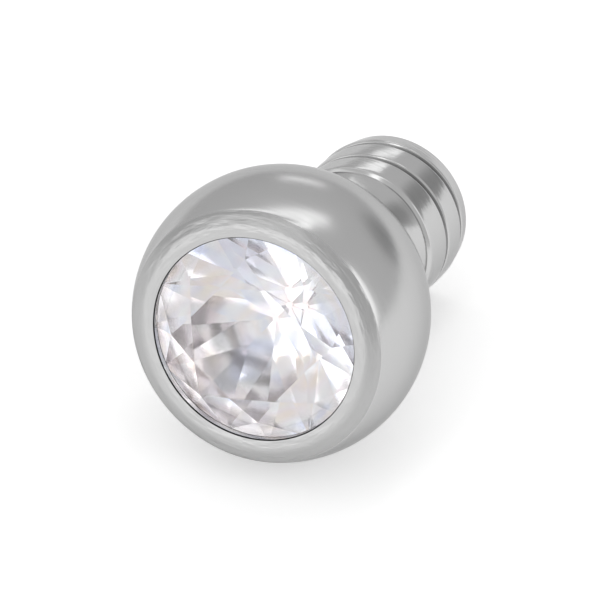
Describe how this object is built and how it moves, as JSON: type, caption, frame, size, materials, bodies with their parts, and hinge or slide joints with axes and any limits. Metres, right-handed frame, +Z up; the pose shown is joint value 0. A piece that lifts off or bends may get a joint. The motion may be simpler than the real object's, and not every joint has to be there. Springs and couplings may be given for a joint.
{
  "type": "threaded gem top",
  "caption": "Round steel ball with a burnished-in clear faceted gem in front and a short threaded post behind, to screw into body jewellery.",
  "frame": {"origin": "middle of the part's footprint, on the surface that it lies on", "axes": "+Z up; the part lies on its ball and the rim of its post's end, with the gem towards -Y and the post running back towards +Y and slightly down"},
  "size_m": [0.003, 0.004, 0.003],
  "materials": {
    "steel": "fine satin polish",
    "gem": "cut and polished, silvered behind"
  },
  "bodies": {
    "root": {"threaded_ball": "steel", "gem": "gem"}
  },
  "joints": []
}
